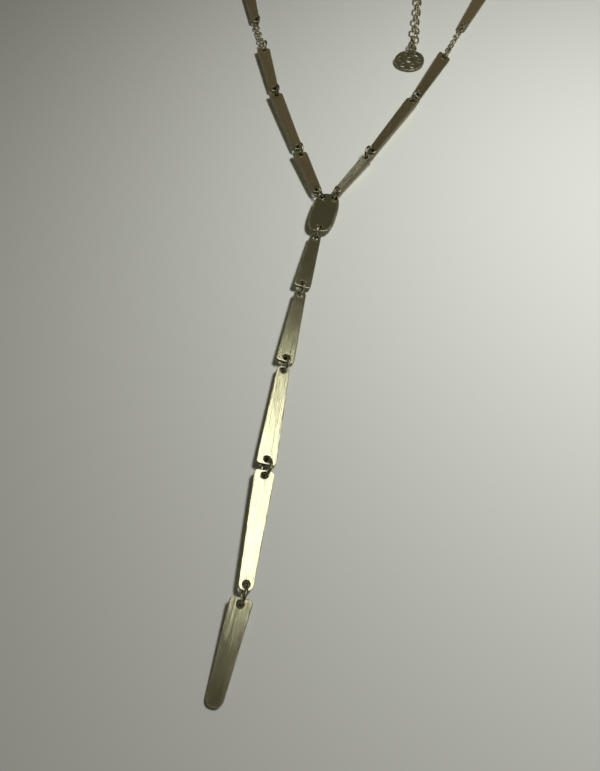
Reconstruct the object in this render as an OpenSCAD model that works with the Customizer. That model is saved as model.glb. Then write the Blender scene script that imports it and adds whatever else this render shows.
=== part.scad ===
// A y necklace, laid out flat: slim tapered bars hang from a flat oval connector and
// climb both sides of the neck, joined by jump rings, with fine cable chain behind.
// Millimetres, +Z up, +Y from the connector towards the clasp.
// The origin is the middle of the connector's flat back.

/* [Bars] */
// Width of a bar across its wide end
bar_wide = 4.6; // [4:0.1:6]
// Width of a bar across its narrow end
bar_narrow = 3.0; // [2.6:0.1:3.6]
// Thickness of every bar
bar_t = 1.0; // [0.8:0.05:1.2]
// Bevel along the edges of the bars and the connector
edge_bevel = 0.15; // [0.1:0.01:0.25]
// Corner radius at a wide end
wide_round = 0.9; // [0.5:0.05:1.2]
// Corner radius at a narrow end
narrow_round = 1.2; // [0.8:0.05:1.3]
// Length of the bars next to the connector
short_l = 18.5; // [15:0.1:24]
// Length of the second bar of the drop
second_l = 21.6; // [18:0.1:28]
// Length of the third and fourth bars
mid_l = 25.1; // [20:0.1:32]
// Length of the second bar on each side of the neck
long_l = 29.4; // [24:0.1:36]
// Length of the round-ended bar at the bottom of the drop
tip_l = 19.0; // [15:0.1:24]
// Width of that bar at its round end
tip_w = 3.2; // [2.8:0.1:4]
// Corner radius at its round end
tip_round = 1.4; // [1:0.05:1.4]

/* [Holes] */
// Smallest gap between a ring's wire and the hole it passes through
hole_gap = 0.06; // [0.05:0.01:0.2]
// Metal left between a hole and the end of its bar
rim = 0.4; // [0.35:0.05:0.6]

/* [Connector] */
// Width of the oval connector
conn_w = 7.4; // [6.8:0.1:9]
// Length of the oval connector
conn_l = 14.6; // [12:0.1:18]
// Thickness of the oval connector
conn_t = 1.2; // [1:0.05:1.4]
// Distance between its two upper holes
conn_pair = 3.5; // [3:0.1:4]
// Distance from its lower end to the middle of its lower hole
conn_low = 1.4; // [1.35:0.05:2]
// Distance from its upper end to the middles of its upper holes
conn_high = 1.55; // [1.5:0.05:2.4]

/* [Rings] */
// Outer diameter of a jump ring
ring_od = 4.6; // [4.4:0.1:5.2]
// Wire diameter of a jump ring
ring_wire = 0.7; // [0.6:0.02:0.8]
// How far a ring's middle stands above the holes it passes through
ring_rise = 0.5; // [0.3:0.05:0.6]
// Outer diameter of the ring that the clasp closes on
end_ring_od = 5.2; // [4.8:0.1:6]

/* [Fine chain] */
// Length of one link over its wire
link_l = 2.75; // [2.6:0.05:3]
// Width of one link over its wire
link_w = 2.0; // [1.9:0.05:2.4]
// Wire diameter of a link
link_wire = 0.45; // [0.35:0.01:0.48]
// Links in each short chain between the third and fourth bars
front_links = 8; // [6:2:12]
// Links in each chain that runs to the clasp
back_links = 35; // [33:2:45]

/* [Extender] */
// Length of one extender link over its wire
ext_link_l = 4.9; // [4.5:0.1:5.4]
// Width of one extender link over its wire
ext_link_w = 3.3; // [3:0.1:3.8]
// Wire diameter of an extender link
ext_wire = 0.65; // [0.5:0.05:0.75]
// Links in the extender
ext_links = 22; // [14:1:29]

/* [Charm] */
// Diameter of the pierced end charm
charm_d = 10; // [8:0.1:12]
// Thickness of the charm
charm_t = 0.9; // [0.7:0.05:1]
// Diameter of the holes pierced round the charm
charm_pierce = 1.9; // [1.4:0.05:2]
// Diameter of the charm's middle hole
charm_middle = 2.4; // [1.8:0.05:2.6]
// Outer diameter of the wire loop soldered to the charm's rim
loop_od = 3.0; // [2.8:0.1:3.2]
// Wire diameter of that loop
loop_wire = 0.7; // [0.6:0.02:0.8]
// Outer diameter of the small ring that holds the charm
charm_ring_od = 4.2; // [4.1:0.1:4.6]

/* [Clasp] */
// Outer diameter of the ring clasp
clasp_od = 6.6; // [6:0.1:8]
// Wire diameter of the ring clasp
clasp_wire = 1.0; // [0.9:0.05:1.1]
// Outer diameter of the clasp's eyelet
eyelet_od = 3.0; // [2.8:0.1:3.4]
// Wire diameter of the clasp's eyelet
eyelet_wire = 0.7; // [0.6:0.02:0.8]

/* [Hidden] */

GOLD = "#c2ab6a";
GOLD_LIGHT = "#dcd29a";

// Smallest clear gap between the wires of neighbouring links
clear = 0.1;
// Play of a ring's wire in the first link of a chain
hook_gap = 0.15;
// Share of the taut pitch at which the chains lie
slack = 0.97;
// Round surfaces
smooth = 48;
// Points round the connector's outline, and segments in a bar's corner
outline_steps = 48;
corner_steps = 5;
// Squareness of the connector: 2 is an ellipse, more is squarer
conn_power = 3;
// Pierced holes round the charm, and how far out they sit as a share of its radius
charm_holes = 6;
charm_pitch = 0.65;
charm_pitch_r = charm_pitch * charm_d / 2;
// Length over which a chain comes down from a ring to the surface
settle = 18;

// Rings
ring_r = (ring_od - ring_wire) / 2;
end_ring_r = (end_ring_od - ring_wire) / 2;
// Distance between the two holes that one ring joins
ring_span = 2 * sqrt(ring_r * ring_r - ring_rise * ring_rise);

// Chains
link_pitch = (link_l - 2 * link_wire - clear) * slack;
ext_pitch = (ext_link_l - 2 * ext_wire - clear) * slack;
// From the middle of a ring's wire back to where the first link starts
hook_back = ring_wire / 2 + hook_gap;

// Holes. A ring curves and leans as it passes through a plate, and its hole allows for both.
most_turn = 25;
conn_turn = 15;
function hole_reach(t, turn) =
    let (
        dip = ring_rise + t / 2 / cos(turn),
        drift = sqrt(ring_r * ring_r - ring_rise * ring_rise) - sqrt(ring_r * ring_r - dip * dip),
        aside = t / 2 * tan(turn),
        slant = cos(asin(dip / ring_r)) * cos(turn)
    )
    sqrt(drift * drift + aside * aside) + ring_wire / 2 / slant + hole_gap;
hole_d = 2 * max(hole_reach(bar_t, most_turn), hole_reach(conn_t, conn_turn));
hole_edge = hole_d / 2 + rim;

// Headings are degrees to the right of +Y, seen from above. Each string of pieces is laid
// from the connector outwards, and bank, lean and headings are how the pieces lie.
conn_heading = 15;

// Columns of the bar tables
LENGTH = 0;
NEAR_W = 1;
FAR_W = 2;
NEAR_ROUND = 3;
FAR_ROUND = 4;
HEADING = 5;
BANK = 6;
// Columns of the ring tables
TOWARDS = 0;
LEAN = 1;

drop_bars = [
    [short_l, bar_narrow, bar_wide, narrow_round, wide_round, 193, -14],
    [second_l, bar_narrow, bar_wide, narrow_round, wide_round, 191, -19],
    [mid_l, bar_narrow, bar_wide, narrow_round, wide_round, 188.7, -17],
    [mid_l, bar_wide, bar_narrow, wide_round, narrow_round, 187.8, -16],
    [tip_l, bar_wide, tip_w, wide_round, tip_round, 194.5, 0]
];
drop_rings = [[197, -10], [192, -22], [190, -35], [188, -38], [194, -20]];

left_bars = [
    [short_l, bar_narrow, bar_wide, narrow_round, wide_round, -16, 14],
    [long_l, bar_narrow, bar_wide, narrow_round, wide_round, -14.5, 13],
    [mid_l, bar_narrow, bar_wide, narrow_round, wide_round, -10, 10],
    [mid_l, bar_narrow, bar_wide, narrow_round, wide_round, -9, 10]
];
left_rings = [[-26, -5], [-15, 25], [-12, 30], [-9, 32], [-10, 32], [-2, 30]];
left_front_heading = -10.5;

right_bars = [
    [short_l, bar_narrow, bar_wide, narrow_round, wide_round, 34.5, -26],
    [long_l, bar_narrow, bar_wide, narrow_round, wide_round, 32, -13],
    [mid_l, bar_narrow, bar_wide, narrow_round, wide_round, 29, 24],
    [mid_l, bar_narrow, bar_wide, narrow_round, wide_round, 27, 8]
];
right_rings = [[19, -5], [33, -20], [34, 5], [28, 28], [28, 30], [25.5, 30]];
right_front_heading = 26.5;

// How straight each back chain lies: its straight reach as a share of its length
left_reach = 0.957;
right_reach = 0.8875;
// Heading of the clasp, and lean of its ring
clasp_heading = 99;
clasp_lean = 35;
// Heading of the extender along its length, as [share of the length, heading]
extender_headings = [[0, 146], [0.25, 168], [0.5, 185], [0.7, 189.5], [1, 189.5]];
extender_lean = 60;
charm_heading = 196;
charm_lean = 20;

// Directions
function ahead(h) = [sin(h), cos(h), 0];
function across(h) = [cos(h), -sin(h), 0];
function unit(v) = v / norm(v);
function heading_of(v) = atan2(v[0], v[1]);
function flat(v) = [v[0], v[1], 0];

// Heights. A ring stands on the surface, and the holes that it joins hang below its middle.
function ring_middle(lean) = ring_r * cos(lean) + ring_wire / 2;
function hole_height(lean) = ring_middle(lean) - ring_rise * cos(lean);
conn_lean = abs(drop_rings[0][LEAN]);
// The surface that everything lies on, under the connector's back
floor_z = conn_t / 2 - hole_height(conn_lean);
function hole_z(lean) = floor_z + hole_height(lean);
// Height of a link's middle where it leans on the surface, turned by roll out of flat
function link_height(w, wire, roll) = floor_z + (w - wire) / 2 * abs(sin(roll)) + wire / 2;

// Places. Each is [near hole, far hole] of one bar, in the order of the string.
function level_step(length, rise) = sqrt(length * length - rise * rise);
function bar_place(from, bar, ring, next_lean) =
    let (
        a = flat(from) + ring_span * ahead(ring[TOWARDS]),
        za = hole_z(ring[LEAN]),
        zb = hole_z(next_lean),
        b = a + level_step(bar[LENGTH] - 2 * hole_edge, zb - za) * ahead(bar[HEADING])
    )
    [[a[0], a[1], za], [b[0], b[1], zb]];
// The last bar of the drop has no ring below it, so its round end rests on the surface
function tip_place(from, bar, ring) =
    let (
        a = flat(from) + ring_span * ahead(ring[TOWARDS]),
        za = hole_z(ring[LEAN]),
        zb = floor_z + bar_t / 2,
        b = a + level_step(bar[LENGTH] - hole_edge, zb - za) * ahead(bar[HEADING])
    )
    [[a[0], a[1], za], [b[0], b[1], zb]];
// Far end of a chain of links, measured between the wires of the rings that hold it
function chain_end(from, links, pitch, heading) =
    flat(from) + (links * pitch - 2 * hook_back) * ahead(heading);

conn_up = ahead(conn_heading);
conn_side = across(conn_heading);
conn_z = conn_t / 2;
low_y = conn_low - conn_l / 2;
high_y = conn_l / 2 - conn_high;
drop_hole = low_y * conn_up + [0, 0, conn_z];
left_hole = high_y * conn_up - conn_pair / 2 * conn_side + [0, 0, conn_z];
right_hole = high_y * conn_up + conn_pair / 2 * conn_side + [0, 0, conn_z];

drop_1 = bar_place(drop_hole, drop_bars[0], drop_rings[0], drop_rings[1][LEAN]);
drop_2 = bar_place(drop_1[1], drop_bars[1], drop_rings[1], drop_rings[2][LEAN]);
drop_3 = bar_place(drop_2[1], drop_bars[2], drop_rings[2], drop_rings[3][LEAN]);
drop_4 = bar_place(drop_3[1], drop_bars[3], drop_rings[3], drop_rings[4][LEAN]);
drop_5 = tip_place(drop_4[1], drop_bars[4], drop_rings[4]);
drop_places = [drop_1, drop_2, drop_3, drop_4, drop_5];

// One side of the neck: three bars, the short chain's start and end, and the fourth bar
function side_places(hole, bars, rings, front_heading) =
    let (
        first = bar_place(hole, bars[0], rings[0], rings[1][LEAN]),
        second = bar_place(first[1], bars[1], rings[1], rings[2][LEAN]),
        third = bar_place(second[1], bars[2], rings[2], rings[3][LEAN]),
        leave = third[1] + ring_span * ahead(rings[3][TOWARDS]),
        arrive_at = chain_end(leave, front_links, link_pitch, front_heading),
        arrive = [arrive_at[0], arrive_at[1], hole_z(rings[4][LEAN])],
        fourth = bar_place(arrive, bars[3], rings[4], rings[5][LEAN]),
        back = fourth[1] + ring_span * ahead(rings[5][TOWARDS])
    )
    [first, second, third, fourth, leave, arrive, back];
LEAVE = 4;
ARRIVE = 5;
BACK = 6;
left_places = side_places(left_hole, left_bars, left_rings, left_front_heading);
right_places = side_places(right_hole, right_bars, right_rings, right_front_heading);

// The leaning clasp hooks the level end ring between the ends of the two back chains
clasp_up = ahead(clasp_heading);
clasp_side = across(clasp_heading);
clasp_r = (clasp_od - clasp_wire) / 2;
eyelet_r = (eyelet_od - eyelet_wire) / 2;
eyelet_out = clasp_r + eyelet_r;
clasp_z = floor_z + clasp_r * cos(clasp_lean) + clasp_wire / 2;
end_ring_z = link_height(ext_link_w, ext_wire, extender_lean);
// Where the clasp's wire comes down through the level of the end ring
clasp_dip = (clasp_z - end_ring_z) / cos(clasp_lean);
clasp_bite = sqrt(clasp_r * clasp_r - clasp_dip * clasp_dip);
clasp_inset = 0.1;
end_ring_from_clasp = (clasp_bite + clasp_inset) * clasp_up
    - clasp_dip * sin(clasp_lean) * clasp_side;
closure = (eyelet_out + eyelet_r + end_ring_r) * clasp_up + end_ring_from_clasp;

back_length = back_links * link_pitch - 2 * hook_back;
left_from = flat(left_places[BACK]);
right_from = flat(right_places[BACK]);
// Where two circles about a and b meet, on the left of the way from a to b
function circles_meet(a, ra, b, rb) =
    let (
        d = norm(b - a),
        along = (d * d + ra * ra - rb * rb) / (2 * d),
        off = sqrt(ra * ra - along * along),
        e = (b - a) / d
    )
    a + along * e + off * [-e[1], e[0], 0];
left_end = circles_meet(left_from, left_reach * back_length,
    right_from - closure, right_reach * back_length);
right_end = left_end + closure;
clasp_at = left_end + (eyelet_r + eyelet_out) * clasp_up;
end_ring_at = clasp_at + end_ring_from_clasp;

// Half the turn of an arc, in degrees, whose chord is the share k of its length
function half_turn(k, t = 170, i = 0) =
    i > 24 ? t
    : half_turn(k, t - (sin(t) - k * t * PI / 180) / ((cos(t) - k) * PI / 180), i + 1);
// Point at share s of the arc of that length from a to b that swells to the side n
function arc_point(a, b, n, half, length, s) =
    let (
        r = length / (2 * half * PI / 180),
        turn = half * (2 * s - 1)
    )
    (a + b) / 2 - r * cos(half) * n + r * sin(turn) * unit(b - a) + r * cos(turn) * n;
// Share left at distance x of what a chain takes over from the ring at its end
function fade(x) = pow(max(0, 1 - x / settle), 2);

// Every chain is a list of points, link i lying between points i and i + 1. Each link is
// turned a quarter from its neighbour, and lean is that of the ring that link 0 hangs from.
function straight_points(a, b, links) =
    let (
        e = unit(flat(b - a)),
        from = flat(a) - hook_back * e,
        to = flat(b) + hook_back * e
    )
    [for (i = [0 : links]) from + i / links * (to - from)];
function arc_points(a, b, side, reach, links) =
    let (
        half = half_turn(reach),
        e = unit(b - a),
        n = side * [-e[1], e[0], 0],
        from = a - hook_back * (cos(half) * e + sin(half) * n),
        to = b + hook_back * (cos(half) * e - sin(half) * n)
    )
    [for (i = [0 : links]) arc_point(from, to, n, half, links * link_pitch, i / links)];
// A free chain is laid link by link along its headings
function free_heading(i, links) = lookup((i + 0.5) / links, extender_headings);
function free_points(from, links, pitch, i = 0) =
    i > links ? []
    : concat([from], free_points(from + pitch * ahead(free_heading(min(i, links - 1), links)),
        links, pitch, i + 1));

// Lean that makes the last link stand square to a ring of that lean
function last_lean(lean, links) = lean + 90 * ((links - 1) % 2);
// Roll of each link, from lean a at the first link over lean m to lean b at the last
function rolls(links, pitch, a, m, b) =
    [for (i = [0 : links - 1])
        90 * i - m - (a - m) * fade(i * pitch) - (b - m) * fade((links - 1 - i) * pitch)];
// The points raised so that the links lie on the surface, and meet the rings at za and zb
function raised(points, roll, w, wire, pitch, za, zb) =
    let (links = len(points) - 1)
    [for (i = [0 : links])
        let (
            tall = link_height(w, wire, max([for (r = [max(0, i - 1), min(i, links - 1)])
                asin(abs(sin(roll[r])))])),
            z = tall + (za - tall) * fade(i * pitch) + (zb - tall) * fade((links - i) * pitch)
        )
        [points[i][0], points[i][1], z]];

// The short chains have an even count of links, so they turn a quarter along their length
front_twist = 90;
function front_rolls(a, b) =
    [for (i = [0 : front_links - 1])
        90 * i - a + i / (front_links - 1) * (a - b + front_twist)];
left_front_rolls = front_rolls(left_rings[3][LEAN], left_rings[4][LEAN]);
right_front_rolls = front_rolls(right_rings[3][LEAN], right_rings[4][LEAN]);
function front_points(places, roll) =
    raised(straight_points(places[LEAVE], places[ARRIVE], front_links), roll,
        link_w, link_wire, link_pitch, places[2][1][2], places[ARRIVE][2]);
left_front_points = front_points(left_places, left_front_rolls);
right_front_points = front_points(right_places, right_front_rolls);

lying = 45;
left_back_rolls = rolls(back_links, link_pitch, left_rings[5][LEAN], lying,
    last_lean(clasp_lean, back_links));
right_back_rolls = rolls(back_links, link_pitch, right_rings[5][LEAN], lying,
    last_lean(90, back_links));
left_back_points = raised(arc_points(left_from, left_end, 1, left_reach, back_links),
    left_back_rolls, link_w, link_wire, link_pitch, left_places[3][1][2], clasp_z);
right_back_points = raised(arc_points(right_from, right_end, -1, right_reach, back_links),
    right_back_rolls, link_w, link_wire, link_pitch, right_places[3][1][2], end_ring_z);

charm_ring_r = (charm_ring_od - ring_wire) / 2;
charm_span = 2 * sqrt(charm_ring_r * charm_ring_r - ring_rise * ring_rise);
charm_hole_z = floor_z + (charm_ring_r - ring_rise) * cos(charm_lean) + ring_wire / 2;
extender_rolls = rolls(ext_links, ext_pitch, extender_lean, lying,
    last_lean(charm_lean, ext_links));
extender_start = end_ring_at + (end_ring_r - hook_back) * ahead(free_heading(0, ext_links));
extender_points = raised(free_points(extender_start, ext_links, ext_pitch),
    extender_rolls, ext_link_w, ext_wire, ext_pitch, end_ring_z, charm_hole_z);
extender_end = extender_points[ext_links]
    - hook_back * ahead(free_heading(ext_links - 1, ext_links));
charm_hole = flat(extender_end) + charm_span * ahead(charm_heading) + [0, 0, charm_hole_z];
// The charm's loop, and the charm's far rim resting on the surface
loop_r = (loop_od - loop_wire) / 2;
loop_out = charm_d / 2 + loop_r;
charm_tip = flat(charm_hole) + [0, 0, floor_z + charm_t / 2]
    + level_step(loop_out + charm_d / 2, charm_hole_z - floor_z - charm_t / 2)
    * ahead(charm_heading);

// Solids

// Tapered outline along +Y, narrow or wide at either end, with rounded corners
function taper(near_w, far_w, l) = atan((far_w - near_w) / 2 / l);
function corner(x_sign, y_sign, w, r, l, tau) =
    let (
        cy = y_sign * (l / 2 - r),
        cx = w / 2 - y_sign * r * tan(tau) - r / cos(tau),
        a0 = -tau,
        a1 = 90 * y_sign
    )
    [for (i = [0 : corner_steps])
        let (a = a0 + (a1 - a0) * i / corner_steps)
        [x_sign * (cx + r * cos(a)), cy + r * sin(a)]];
function reversed(v) = [for (i = [len(v) - 1 : -1 : 0]) v[i]];
function bar_outline(near_w, far_w, near_r, far_r, l, inset) =
    let (
        tau = taper(near_w, far_w, l),
        nw = near_w - 2 * inset / cos(tau) + 2 * inset * tan(tau),
        fw = far_w - 2 * inset / cos(tau) - 2 * inset * tan(tau),
        len_in = l - 2 * inset
    )
    concat(
        corner(1, 1, fw, far_r - inset, len_in, tau),
        reversed(corner(-1, 1, fw, far_r - inset, len_in, tau)),
        corner(-1, -1, nw, near_r - inset, len_in, tau),
        reversed(corner(1, -1, nw, near_r - inset, len_in, tau))
    );
function oval_outline(w, l, inset) =
    [for (i = [0 : outline_steps - 1])
        let (a = 360 * i / outline_steps, c = cos(a), s = sin(a), k = 2 / conn_power)
        [(w / 2 - inset) * sign(c) * pow(abs(c), k), (l / 2 - inset) * sign(s) * pow(abs(s), k)]];

// A plate between two faces, with its edge bevelled top and bottom. The full and the inset
// outline run the same way round, with as many points.
module bevelled_plate(full, inset, t, bevel) {
    n = len(full);
    layers = [[inset, -t / 2], [full, -t / 2 + bevel], [full, t / 2 - bevel], [inset, t / 2]];
    points = [for (layer = layers) for (p = layer[0]) [p[0], p[1], layer[1]]];
    walls = [for (k = [0 : 2]) for (i = [0 : n - 1])
        let (j = (i + 1) % n)
        [k * n + i, (k + 1) * n + i, (k + 1) * n + j, k * n + j]];
    bottom = [for (i = [0 : n - 1]) i];
    top = [for (i = [n - 1 : -1 : 0]) 3 * n + i];
    polyhedron(points, concat([bottom, top], walls), convexity = 2);
}

module ring_hole(t) {
    cylinder(h = t + 2, d = hole_d, center = true, $fn = smooth);
}

// A round ring of wire in the XY plane
module wire_ring(r, wire) {
    rotate_extrude($fn = smooth) translate([r, 0]) circle(d = wire, $fn = smooth);
}

// An oval link of wire, long along X, in the XY plane
module link(l, w, wire) {
    r = (w - wire) / 2;
    half = (l - w) / 2;
    for (end = [-1, 1]) {
        translate([end * half, 0, 0])
            rotate([0, 0, -90 * end])
                rotate_extrude(angle = 180, $fn = smooth)
                    translate([r, 0]) circle(d = wire, $fn = smooth);
        translate([-half, end * r, 0])
            rotate([0, 90, 0])
                cylinder(h = 2 * half, d = wire, $fn = smooth);
    }
}

// Put local X, Y and Z along three unit directions at a point
module set_frame(x, y, z, p) {
    multmatrix([
        [x[0], y[0], z[0], p[0]],
        [x[1], y[1], z[1], p[1]],
        [x[2], y[2], z[2], p[2]],
        [0, 0, 0, 1]
    ]) children();
}

// Lay a plate that runs along its own Y from a to b, banked about that line
module lay_plate(a, b, bank) {
    run = b - a;
    translate((a + b) / 2)
        rotate([0, 0, -heading_of(run)])
            rotate([asin(run[2] / norm(run)), 0, 0])
                rotate([0, bank, 0])
                    children();
}

module bar(row, place) {
    full = bar_outline(row[NEAR_W], row[FAR_W], row[NEAR_ROUND], row[FAR_ROUND], row[LENGTH], 0);
    inset = bar_outline(row[NEAR_W], row[FAR_W], row[NEAR_ROUND], row[FAR_ROUND], row[LENGTH],
        edge_bevel);
    color(GOLD_LIGHT) lay_plate(place[0], place[1], row[BANK])
        difference() {
            bevelled_plate(full, inset, bar_t, edge_bevel);
            for (end = [-1, 1])
                translate([0, end * (row[LENGTH] / 2 - hole_edge), 0])
                    ring_hole(bar_t);
        }
}

// The last bar of the drop has one hole, and its place runs from that hole to its tip
module tip_bar(row, place) {
    full = bar_outline(row[NEAR_W], row[FAR_W], row[NEAR_ROUND], row[FAR_ROUND], row[LENGTH], 0);
    inset = bar_outline(row[NEAR_W], row[FAR_W], row[NEAR_ROUND], row[FAR_ROUND], row[LENGTH],
        edge_bevel);
    color(GOLD_LIGHT) lay_plate(place[0], place[1], row[BANK])
        translate([0, -hole_edge / 2, 0])
            difference() {
                bevelled_plate(full, inset, bar_t, edge_bevel);
                translate([0, hole_edge - row[LENGTH] / 2, 0])
                    ring_hole(bar_t);
            }
}

// A ring of radius r through two holes at a and b, leaning to the right of the way there
module joining_ring(a, b, lean, r, rise) {
    x = unit(b - a);
    side = across(heading_of(b - a));
    up = cross(side, x);
    y = sin(lean) * side + cos(lean) * up;
    color(GOLD) set_frame(x, y, cross(x, y), (a + b) / 2 + rise * y)
        wire_ring(r, ring_wire);
}

module jump_ring(a, ring) {
    h = hole_z(ring[LEAN]);
    from = [a[0], a[1], h];
    joining_ring(from, from + ring_span * ahead(ring[TOWARDS]), ring[LEAN], ring_r, ring_rise);
}

module chain(points, roll, l, w, wire) {
    for (i = [0 : len(roll) - 1]) {
        x = unit(points[i + 1] - points[i]);
        side = across(heading_of(x));
        y = cos(roll[i]) * side + sin(roll[i]) * cross(side, x);
        color(GOLD) set_frame(x, y, cross(x, y), (points[i] + points[i + 1]) / 2)
            link(l, w, wire);
    }
}

module fine_chain(points, roll) {
    chain(points, roll, link_l, link_w, link_wire);
}

module connector() {
    color(GOLD_LIGHT) translate([0, 0, conn_z]) rotate([0, 0, -conn_heading])
        difference() {
            bevelled_plate(oval_outline(conn_w, conn_l, 0), oval_outline(conn_w, conn_l, edge_bevel),
                conn_t, edge_bevel);
            translate([0, low_y, 0]) ring_hole(conn_t);
            for (side = [-1, 1])
                translate([side * conn_pair / 2, high_y, 0]) ring_hole(conn_t);
        }
}

module drop_bar(i) bar(drop_bars[i], drop_places[i]);
module left_bar(i) bar(left_bars[i], left_places[i]);
module right_bar(i) bar(right_bars[i], right_places[i]);

// The ring before each piece of a string: rings 1 to 4 follow the bars, 5 and 6 the chains
function ring_starts(hole, p) = [hole, p[0][1], p[1][1], p[2][1], p[ARRIVE], p[3][1]];
module drop_ring(i) jump_ring(concat([drop_hole], [for (p = drop_places) p[1]])[i], drop_rings[i]);
module left_ring(i) jump_ring(ring_starts(left_hole, left_places)[i], left_rings[i]);
module right_ring(i) jump_ring(ring_starts(right_hole, right_places)[i], right_rings[i]);

// A round wire clasp with a soldered eyelet, leaning on the surface
module ring_clasp() {
    y = sin(clasp_lean) * clasp_side + [0, 0, cos(clasp_lean)];
    color(GOLD) set_frame(clasp_up, y, cross(clasp_up, y), clasp_at + [0, 0, clasp_z]) {
        wire_ring(clasp_r, clasp_wire);
        translate([-eyelet_out, 0, 0]) wire_ring(eyelet_r, eyelet_wire);
    }
}

module end_ring() {
    color(GOLD) translate(end_ring_at + [0, 0, end_ring_z]) wire_ring(end_ring_r, ring_wire);
}

module charm_ring() {
    joining_ring(flat(extender_end) + [0, 0, charm_hole_z], charm_hole, charm_lean,
        charm_ring_r, ring_rise);
}

// A round disc pierced with a middle hole and a circle of holes, with a loop on its rim
module end_charm() {
    color(GOLD) lay_plate(charm_hole, charm_tip, 0)
        translate([0, (loop_out - charm_d / 2) / 2, 0]) {
            translate([0, -loop_out, 0]) wire_ring(loop_r, loop_wire);
            difference() {
                cylinder(h = charm_t, d = charm_d, center = true, $fn = 2 * smooth);
                cylinder(h = charm_t + 2, d = charm_middle, center = true, $fn = smooth);
                for (i = [0 : charm_holes - 1])
                    rotate([0, 0, 360 * i / charm_holes])
                        translate([charm_pitch_r, 0, 0])
                            cylinder(h = charm_t + 2, d = charm_pierce, center = true, $fn = smooth);
            }
        }
}

connector();
for (i = [0 : 4]) union() {
    if (i < 4) drop_bar(i);
    else tip_bar(drop_bars[i], drop_places[i]);
}
for (i = [0 : 4]) drop_ring(i);
for (i = [0 : 3]) left_bar(i);
for (i = [0 : 5]) left_ring(i);
for (i = [0 : 3]) right_bar(i);
for (i = [0 : 5]) right_ring(i);
fine_chain(left_front_points, left_front_rolls);  // left_front_chain
fine_chain(right_front_points, right_front_rolls);  // right_front_chain
fine_chain(left_back_points, left_back_rolls);  // left_back_chain
fine_chain(right_back_points, right_back_rolls);  // right_back_chain
ring_clasp();
end_ring();
chain(extender_points, extender_rolls, ext_link_l, ext_link_w, ext_wire);  // extender_chain
charm_ring();
end_charm();
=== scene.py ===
"""Looks of a y necklace laid out flat: brushed tapered plates, jump rings, cable chains and a charm.

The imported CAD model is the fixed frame. Each plate, ring and link is made again here as a smooth
surface in the place where its CAD node lies, and gets a procedural metal. Metres, +Z up.
"""

import math

import bmesh
import bpy
import numpy as np
from bpy.props import FloatProperty, FloatVectorProperty, IntProperty, PointerProperty
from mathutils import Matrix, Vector


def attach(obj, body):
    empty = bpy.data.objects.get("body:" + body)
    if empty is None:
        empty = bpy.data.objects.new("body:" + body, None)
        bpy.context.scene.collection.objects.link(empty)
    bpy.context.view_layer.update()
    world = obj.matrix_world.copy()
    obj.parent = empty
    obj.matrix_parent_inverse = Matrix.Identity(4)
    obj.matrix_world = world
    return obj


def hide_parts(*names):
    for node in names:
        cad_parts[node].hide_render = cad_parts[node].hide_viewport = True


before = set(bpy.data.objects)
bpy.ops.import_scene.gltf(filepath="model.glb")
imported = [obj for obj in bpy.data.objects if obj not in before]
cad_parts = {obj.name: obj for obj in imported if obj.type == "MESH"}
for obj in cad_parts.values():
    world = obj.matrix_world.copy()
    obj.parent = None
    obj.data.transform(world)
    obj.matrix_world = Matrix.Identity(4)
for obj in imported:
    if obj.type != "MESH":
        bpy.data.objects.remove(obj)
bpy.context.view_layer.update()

bl_info = {
    "name": "Y necklace",
    "version": (1, 0, 0),
    "blender": (4, 5, 0),
    "location": "3D View > Sidebar > Necklace",
    "description": "Builds the metal of a y necklace around its packed CAD model",
    "category": "Object",
}

BODY = "root"
MM = 0.001
FLOOR = -1.178 * MM

# Metres: distances shorter than this count as none
TINY = 1e-6

# Lengths of the bars in mm, and how each changes in width away from the connector
SHORT, SECOND, MIDDLE, LONG, TIP = 18.5, 21.6, 25.1, 29.4, 19.0
WIDENING, NARROWING, TIPPED = "widening", "narrowing", "tipped"
BARS = {
    "drop_bar_1": (SHORT, WIDENING),
    "drop_bar_2": (SECOND, WIDENING),
    "drop_bar_3": (MIDDLE, WIDENING),
    "drop_bar_4": (MIDDLE, NARROWING),
    "drop_bar_5": (TIP, TIPPED),
    "left_bar_1": (SHORT, WIDENING),
    "left_bar_2": (LONG, WIDENING),
    "left_bar_3": (MIDDLE, WIDENING),
    "left_bar_4": (MIDDLE, WIDENING),
    "right_bar_1": (SHORT, WIDENING),
    "right_bar_2": (LONG, WIDENING),
    "right_bar_3": (MIDDLE, WIDENING),
    "right_bar_4": (MIDDLE, WIDENING),
}
RINGS = (
    [f"drop_ring_{i}" for i in range(1, 6)]
    + [f"{side}_ring_{i}" for side in ("left", "right") for i in range(1, 7)]
    + ["end_ring", "charm_ring"]
)
FINE_CHAINS = ["left_front_chain", "right_front_chain", "left_back_chain", "right_back_chain"]


# ---------------------------------------------------------------- sizes and colours


def length(name, what, mm):
    """A size in metres that a user may change."""
    return FloatProperty(name=name, description=what, default=mm * MM, subtype="DISTANCE", unit="LENGTH",
                         precision=5)


def colour(name, what, rgb):
    """A colour that a user may change."""
    return FloatVectorProperty(name=name, description=what, default=rgb, subtype="COLOR", size=3,
                               min=0, max=1)


def share(name, what, value):
    """A share from 0 to 1 that a user may change."""
    return FloatProperty(name=name, description=what, default=value, min=0, max=1, subtype="FACTOR")


def power(name, what, watts):
    """A power in watts that a user may change."""
    return FloatProperty(name=name, description=what, default=watts, min=0, unit="POWER")


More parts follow.
